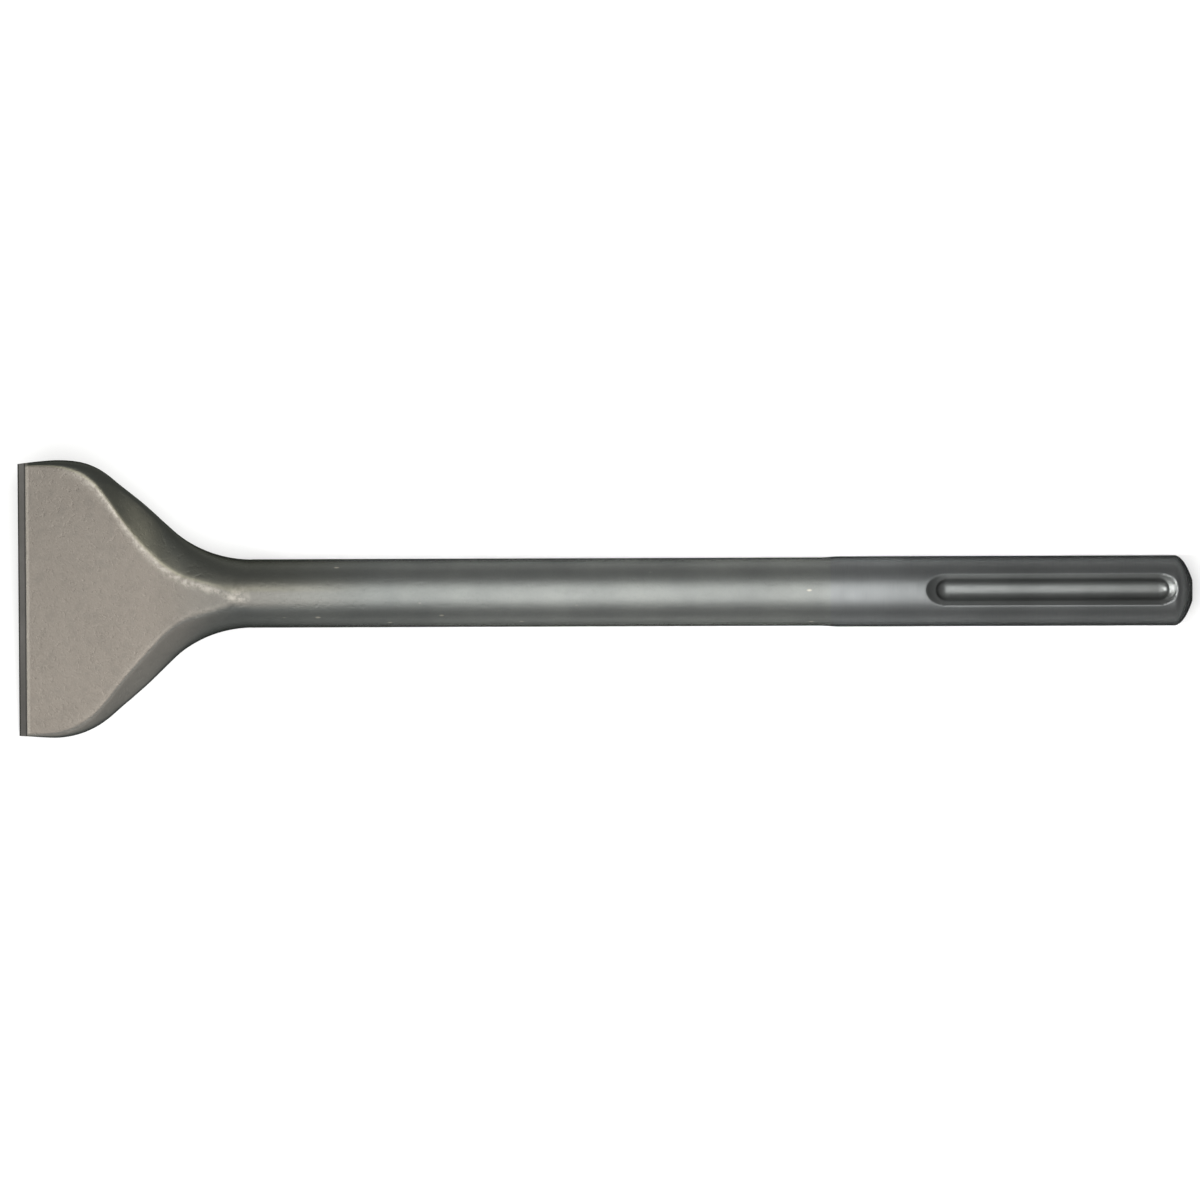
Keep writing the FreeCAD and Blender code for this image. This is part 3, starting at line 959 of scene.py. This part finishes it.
@dataclass
class SteelNodes:
    """The nodes of one finish. Each reading and each window is made once, when first asked."""

    tree: Tree
    grit_size: float
    lay: tuple[float, float, float]

    def __post_init__(self) -> None:
        """Adds the coordinates that every pattern starts from."""
        coordinates = add_node(self.tree, "TexCoord").outputs
        self.place = coordinates["Object"]
        self.normal = coordinates["Normal"]
        self.made: dict[Reading | Window, Socket] = {}

    def reading(self, wanted: Reading) -> Socket:
        """Gives a reading's output.

        Args:
            wanted: What is read.

        Returns:
            The output, the same one each time.
        """
        if wanted not in self.made:
            self.made[wanted] = self.add_reading(wanted)
        return self.made[wanted]

    def add_reading(self, wanted: Reading) -> Socket:
        """Adds the nodes of one reading.

        Args:
            wanted: What is read.

        Returns:
            Its output.
        """
        tree = self.tree
        axes = {
            Reading.ALONG: (self.place, "X"),
            Reading.ACROSS: (self.place, "Y"),
            Reading.FACING_END: (self.normal, "X"),
            Reading.FACING_SIDE: (self.normal, "Y"),
            Reading.FACING_UP: (self.normal, "Z"),
        }
        if wanted in axes:
            vector, axis = axes[wanted]
            return add_node(tree, "SeparateXYZ", {}, {"Vector": vector}).outputs[axis]
        if wanted is Reading.FLATNESS:
            up = self.reading(Reading.FACING_UP)
            return add_node(tree, "Math", {"operation": "ABSOLUTE"}, {0: up}).outputs[0]
        if wanted is Reading.EDGE:
            return add_node(tree, "Attribute", {"attribute_name": EDGE_WEAR_AND_HIGHLIGHT}).outputs["Fac"]
        if wanted is Reading.OFF_TIP:
            ends = {0: self.place, 1: TIP_PLACE}
            return add_node(tree, "VectorMath", {"operation": "DISTANCE"}, ends).outputs["Value"]
        if wanted in PATTERNS or wanted is Reading.GRAIN:
            size, detail = PATTERNS.get(wanted, (self.grit_size, GRAIN_DETAIL))
            place = self.place
            if wanted is Reading.GRAIN:
                drawn = add_node(tree, "Mapping", {}, {"Vector": place, "Scale": self.lay})
                place = drawn.outputs["Vector"]
            return add_node(tree, "TexNoise", {}, {
                "Vector": place, "Scale": per_mm(size), "Detail": detail,
                "Roughness": NOISE_ROUGHNESS,
            }).outputs["Fac"]
        drawn = add_node(tree, "Mapping", {}, {"Vector": self.place, "Scale": GLINT_LAY})
        cells = add_node(tree, "TexVoronoi", {}, {
            "Vector": drawn.outputs["Vector"], "Scale": per_mm(GLINT_SIZE),
        }).outputs
        if wanted is Reading.KNOCK_DISTANCE:
            return cells["Distance"]
        return add_node(tree, "SeparateColor", {}, {"Color": cells["Color"]}).outputs["Red"]

    def share(self, windows: tuple[Window, ...]) -> Socket:
        """Multiplies windows.

        Args:
            windows: One or more windows.

        Returns:
            Their product's output.
        """
        product: Socket | None = None
        for window in windows:
            if window not in self.made:
                self.made[window] = add_node(self.tree, "MapRange", {}, {
                    "Value": self.reading(window.reading),
                    "From Min": window.span[0], "From Max": window.span[1],
                    "To Min": window.share[0], "To Max": window.share[1],
                }).outputs["Result"]
            if product is None:
                product = self.made[window]
            else:
                product = add_node(self.tree, "Math", {"operation": "MULTIPLY"}, {
                    0: product, 1: self.made[window],
                }).outputs[0]
        return product


@dataclass(frozen=True)
class SteelFinish:
    """A worked steel surface: its colours, its gloss and the marks that the work left.

    The grit's size and the marks' depths are in millimetres. The lay squeezes the grit along
    each axis, so that it is drawn out where the factor is small.
    """

    name: str
    light: str
    dark: str
    roughness: float
    grit_size: float
    grit_depth: float
    lay: tuple[float, float, float]
    edge_tint: str
    dent_depth: float = 0.0
    tones: tuple[Tone, ...] = ()

    def material(self) -> bpy.types.Material:
        """Builds the finish as a node material on Object coordinates.

        Returns:
            The material.
        """
        material, tree = new_material(self.name)
        nodes = SteelNodes(tree, self.grit_size, self.lay)
        patches = Tone(self.light, (Window(Reading.PATCHES, (0.3, 0.7), (0, 1)),))
        pits = Tone(self.dark, (Window(Reading.GRAIN, (0.55, 0.8), (0, 0.35)),))
        base: Socket | Colour = linear(self.dark)
        for tone in (patches, pits, *self.tones):
            base = add_node(tree, "Mix", {"data_type": "RGBA"}, {
                0: nodes.share(tone.windows), 6: base, 7: linear(tone.colour),
            }).outputs[2]
        swing = (self.roughness - ROUGHNESS_SWING, self.roughness + ROUGHNESS_SWING)
        marks = [(nodes.reading(Reading.GRAIN), self.grit_depth)]
        if self.dent_depth:
            hollows = nodes.share((Window(Reading.DENTS, (0.28, 0.46), (0, 1)),))
            marks.append((hollows, self.dent_depth))
        relief: dict[str, Socket] = {}
        for height, depth in marks:
            bump = add_node(tree, "Bump", {}, {
                "Height": height, "Strength": 1.0, "Distance": depth * MM, **relief,
            })
            relief = {"Normal": bump.outputs["Normal"]}
        shader = add_node(tree, "BsdfPrincipled", {}, {
            "Base Color": base, "Metallic": 1.0,
            "Roughness": nodes.share((Window(Reading.GRAIN, (0.3, 0.7), swing),)),
            "Specular Tint": linear(self.edge_tint), **relief,
        })
        add_node(tree, "OutputMaterial", {}, {"Surface": shader.outputs["BSDF"]})
        return material


# Tones of the steel: warm where the dies rubbed it, olive and near-black for painted shade and for
# spots of scale, pale and bright for painted highlights and glints with some bare worn steel, and a
# dark tone for painted shade at edges and towards the striking end
WARM = "#6e675f"
OLIVE_SHADE = "#757362"
SCALE_AND_SHADE = "#383b3a"
FLANK_HIGHLIGHT = "#a19b92"
SHADE_TONE = "#302f2d"
BARE_AND_HIGHLIGHT = "#959188"

BLADE = Window(Reading.ALONG, from_edge(38, 90), (1, 0))
LOWER_FLANK = Window(Reading.FACING_SIDE, (-0.3, -0.42), (0, 1))
BROKEN = Window(Reading.BREAKS, (0.38, 0.62), (0.1, 0.65))

FORGED_TONES = (
    # The two faces are warm; painted shade turns the upper flank olive and then dark where it turns
    # out
    Tone(WARM, (BLADE, Window(Reading.FLATNESS, (0.88, 0.95), (0.1, 0.85)))),
    Tone(OLIVE_SHADE, (BLADE, Window(Reading.FACING_SIDE, (0.0, 0.1), (0, 0.7)))),
    Tone(SCALE_AND_SHADE, (BLADE, Window(Reading.FACING_SIDE, (0.15, 0.31), (0, 0.78)))),
    # The lower flank gets a painted highlight on its slope and painted shade at its rim
    Tone(FLANK_HIGHLIGHT, (
        BLADE, LOWER_FLANK,
        Window(Reading.ALONG, from_edge(42, 55), (1, 0)),
        Window(Reading.FACING_UP, (0.93, 0.82), (0, 0.6)),
        Window(Reading.FACING_UP, (0.5, 0.8), (0, 1)),
    )),
    # Painted shade: the blade is a little darker towards its upper side
    Tone(SCALE_AND_SHADE, (BLADE, Window(Reading.ACROSS, (-30 * MM, 30 * MM), (0, 0.12)))),
    Tone(SCALE_AND_SHADE, (BLADE, LOWER_FLANK, Window(Reading.FACING_UP, (0.84, 0.55), (0, 0.6)))),
    # Spots of scale on the blade, and darker from the neck to well along the bar
    Tone(SCALE_AND_SHADE, (BLADE, Window(Reading.MOTTLE, (0.5, 0.72), (0, 0.15)))),
    Tone(SCALE_AND_SHADE, (
        Window(Reading.ALONG, from_edge(32, 50), (0, 1)),
        Window(Reading.ALONG, from_edge(70, 140), (0.28, 0)),
    )),
    # Bare steel and a painted edge highlight behind the bevel, a painted highlight with some bare
    # worn steel along the face's edge, a painted highlight at its point and painted glints on the
    # bar
    Tone(BARE_AND_HIGHLIGHT, (Window(Reading.ALONG, from_edge(3.0, 2.2), (0, 0.5)),)),
    Tone(BARE_AND_HIGHLIGHT, (Window(Reading.EDGE, (0, 1), (0, 1)), BROKEN)),
    Tone(BARE_AND_HIGHLIGHT, (Window(Reading.OFF_TIP, (0.4 * MM, 3.4 * MM), (0.85, 0)), BROKEN)),
    Tone(BARE_AND_HIGHLIGHT, (
        Window(Reading.KNOCK_DISTANCE, (0.05, 0.13), (1, 0)),
        Window(Reading.KNOCK_CHOICE, (0.68, 0.7), (0, 1)),
        Window(Reading.ALONG, from_edge(62, 67), (0, 1)),
    )),
)
# Painted shade at the bevel's edges: a dark line at the cutting edge and one at the bevel's heel
GROUND_TONES = (
    Tone(SHADE_TONE, (Window(Reading.ALONG, from_edge(0.45, 0.25), (0, 0.8)),)),
    Tone(SHADE_TONE, (Window(Reading.ALONG, from_edge(1.55, 1.8), (0, 0.8)),)),
)
# Painted shade: the crown is a little darker than the sides
CROWN = Tone(SHADE_TONE, (Window(Reading.FACING_END, (0.3, 0.9), (0, 0.2)),))

# Forged tool steel, shot-blasted after forging: an even dull grey, warmer on the blade. The
# shot leaves dimples of about 0.1 mm, drawn here at 0.5 mm and 1.3 mm so that they show.
FORGED = SteelFinish(
    name="shot_blasted_forged_steel", light="#6f716e", dark="#646664", roughness=0.44,
    grit_size=0.5, grit_depth=0.025, lay=(1, 1, 1), edge_tint="#585858",
    dent_depth=0.03, tones=FORGED_TONES,
)
# Tool steel ground on a wheel across the cutting edge: straight lines that are drawn coarser
# than the real grit's so that they show. It looks dark because it leans away from the light.
GROUND = SteelFinish(
    name="ground_steel", light="#7c7a76", dark="#6c6a66", roughness=0.4,
    grit_size=0.5, grit_depth=0.006, lay=(0.15, 1, 1), edge_tint="#6c6c6c",
    tones=GROUND_TONES,
)
# Tool steel turned and ground round the axis: smoother than the forging, with faint rings,
# also drawn coarser than they are. Painted shade makes it a little darker towards the striking end.
TURNED = SteelFinish(
    name="turned_steel", light="#6b6d6d", dark="#636565", roughness=0.42,
    grit_size=0.5, grit_depth=0.005, lay=(1, 0.1, 0.1), edge_tint="#3a3a3a",
    tones=(Tone(SHADE_TONE, (Window(Reading.ALONG, from_edge(220, 250), (0, 0.28)),)), CROWN),
)
# Tool steel rolled into the hot bar: a smooth floor with lines along the groove. Painted shade
# darkens it towards the striking end and on the crown.
ROLLED = SteelFinish(
    name="rolled_groove_steel", light="#646665", dark="#5b5d5c", roughness=0.4,
    grit_size=0.6, grit_depth=0.008, lay=(0.1, 1, 1), edge_tint="#444444",
    tones=(Tone(SHADE_TONE, (Window(Reading.ALONG, from_edge(230, 300), (0, 0.34)),)), CROWN),
)


@dataclass(frozen=True)
class SoftLight:
    """A softbox: its size, place and target in metres, its power in watts and its grid.

    The spread is the angle in degrees that a grid lets through, and 180 is no grid.
    """

    name: str
    size: tuple[float, float]
    place: tuple[float, float, float]
    target: tuple[float, float, float]
    power: float
    spread: float = 180


LIGHTS = (
    SoftLight(
        name="overhead_softbox", size=(0.36, 0.7), power=3.65,
        place=(-0.015, -0.055, 0.6), target=(-0.015, -0.055, 0.0),
    ),
    SoftLight(
        name="lower_left_fill", size=(0.26, 0.26), power=0.65,
        place=(-0.3, -0.24, 0.45), target=(-0.1, 0.0, 0.0),
    ),
    SoftLight(
        name="lower_strip", size=(0.9, 0.25), power=0.3,
        place=(0.05, -0.45, 0.5), target=(0.05, 0.0, 0.0),
    ),
    SoftLight(
        name="gridded_end_light", size=(0.05, 0.18), power=0.1, spread=24,
        place=(-0.35, -0.01, 0.34), target=(0.143, 0.0, 0.01),
    ),
)


@dataclass
class Studio:
    """A pale floor, soft lights and the camera.

    Lengths are in metres. The camera's columns and rows are those of the square picture.
    """

    floor_radius: float = 4.0
    floor_sides: int = 96
    board_tone: str = "#cdcdcc"
    floor_white: float = 0.43
    world_level: float = 0.5
    camera_height: float = 6.0
    axis_height: float = 0.009
    picture_width: float = 1200
    pixels_per_mm: float = 3.913
    axis_row: float = 592.3
    middle_column: float = 605.4
    picture_roll: float = 0.2
    sensor: float = 36.0

    def floor_material(self) -> bpy.types.Material:
        """Pale matt board that the camera and the metal both see as white, with its shadow.

        Returns:
            The material.
        """
        material, tree = new_material("pale_board")
        path = add_node(tree, "LightPath").outputs
        seen = path["Is Camera Ray"]
        for ray in ("Is Glossy Ray", "Is Transmission Ray"):
            seen = add_node(tree, "Math", {"operation": "ADD", "use_clamp": True}, {
                0: seen, 1: path[ray],
            }).outputs[0]
        strength = add_node(tree, "Math", {"operation": "MULTIPLY"}, {
            0: seen, 1: self.floor_white,
        }).outputs[0]
        board = add_node(tree, "BsdfDiffuse", {}, {"Color": linear(self.board_tone)})
        glow = add_node(tree, "Emission", {}, {"Color": linear("#ffffff"), "Strength": strength})
        both = add_node(tree, "AddShader", {}, {0: board.outputs[0], 1: glow.outputs[0]})
        add_node(tree, "OutputMaterial", {}, {"Surface": both.outputs[0]})
        return material

    def build_floor(self) -> bpy.types.Object:
        """Adds a wide round floor.

        Returns:
            The floor.
        """
        deselect_all()
        bpy.ops.mesh.primitive_circle_add(
            vertices=self.floor_sides, radius=self.floor_radius, fill_type="NGON",
        )
        floor = bpy.context.active_object
        floor.name = floor.data.name = "floor"
        floor.data.materials.append(self.floor_material())
        return floor

    def build_light(self, light: SoftLight) -> bpy.types.Object:
        """Hangs one soft light and turns it to its target.

        Args:
            light: The light.

        Returns:
            The hung lamp.
        """
        lamp = bpy.data.lights.new(light.name, "AREA")
        lamp.shape = "RECTANGLE"
        lamp.size, lamp.size_y = light.size
        lamp.energy = light.power
        lamp.spread = math.radians(light.spread)
        hung = bpy.data.objects.new(light.name, lamp)
        hung.location = light.place
        back = Vector(light.place) - Vector(light.target)
        hung.rotation_euler = back.to_track_quat("Z", "Y").to_euler()
        hung.visible_camera = False
        bpy.context.scene.collection.objects.link(hung)
        return hung

    def build_world(self) -> None:
        """Fills the room with a dim even light."""
        world = bpy.data.worlds.new("dim_room")
        bpy.context.scene.world = world
        world.use_nodes = True
        background = world.node_tree.nodes["Background"]
        background.inputs["Color"].default_value = (1, 1, 1, 1)
        background.inputs["Strength"].default_value = self.world_level

    def build_camera(self) -> bpy.types.Object:
        """Looks straight down on the chisel through a long lens.

        Returns:
            The camera.
        """
        scale = self.pixels_per_mm / MM
        half = self.picture_width / 2
        place = ((half - self.middle_column) / scale, (self.axis_row - half) / scale)
        shown = self.picture_width / scale
        camera = bpy.data.cameras.new("camera")
        camera.sensor_width = self.sensor
        camera.lens = self.sensor * self.camera_height / shown
        camera.clip_end = 2 * self.camera_height
        seen = bpy.data.objects.new("camera", camera)
        seen.location = (*place, self.camera_height + self.axis_height)
        seen.rotation_euler = (0, 0, -math.radians(self.picture_roll))
        bpy.context.scene.collection.objects.link(seen)
        bpy.context.scene.camera = seen
        return seen

    def build(self) -> list[bpy.types.Object]:
        """Sets up the whole studio.

        Returns:
            The floor, the lights and the camera.
        """
        floor = self.build_floor()
        lights = [self.build_light(light) for light in LIGHTS]
        self.build_world()
        camera = self.build_camera()
        bpy.context.scene.view_settings.view_transform = "Standard"
        return [floor, *lights, camera]


def main() -> None:
    """Builds the chisel and the studio, in that order, and reports each piece."""
    finishes = {
        Region.FORGED: FORGED.material(),
        Region.GROUND_BEVEL: GROUND.material(),
        Region.TURNED_SHANK: TURNED.material(),
        Region.ROLLED_GROOVE: ROLLED.material(),
    }
    forging = ChiselForging()
    chisel = forging.build(finishes)
    triangles = sum(len(polygon.vertices) - 2 for polygon in chisel.data.polygons)
    roll = math.degrees(forging.roll)
    log.info("%s: %d triangles, rolled %.2f degrees", chisel.name, triangles, roll)
    for item in Studio().build():
        log.info("%s: in the studio", item.name)


if __name__ == "__main__":
    main()
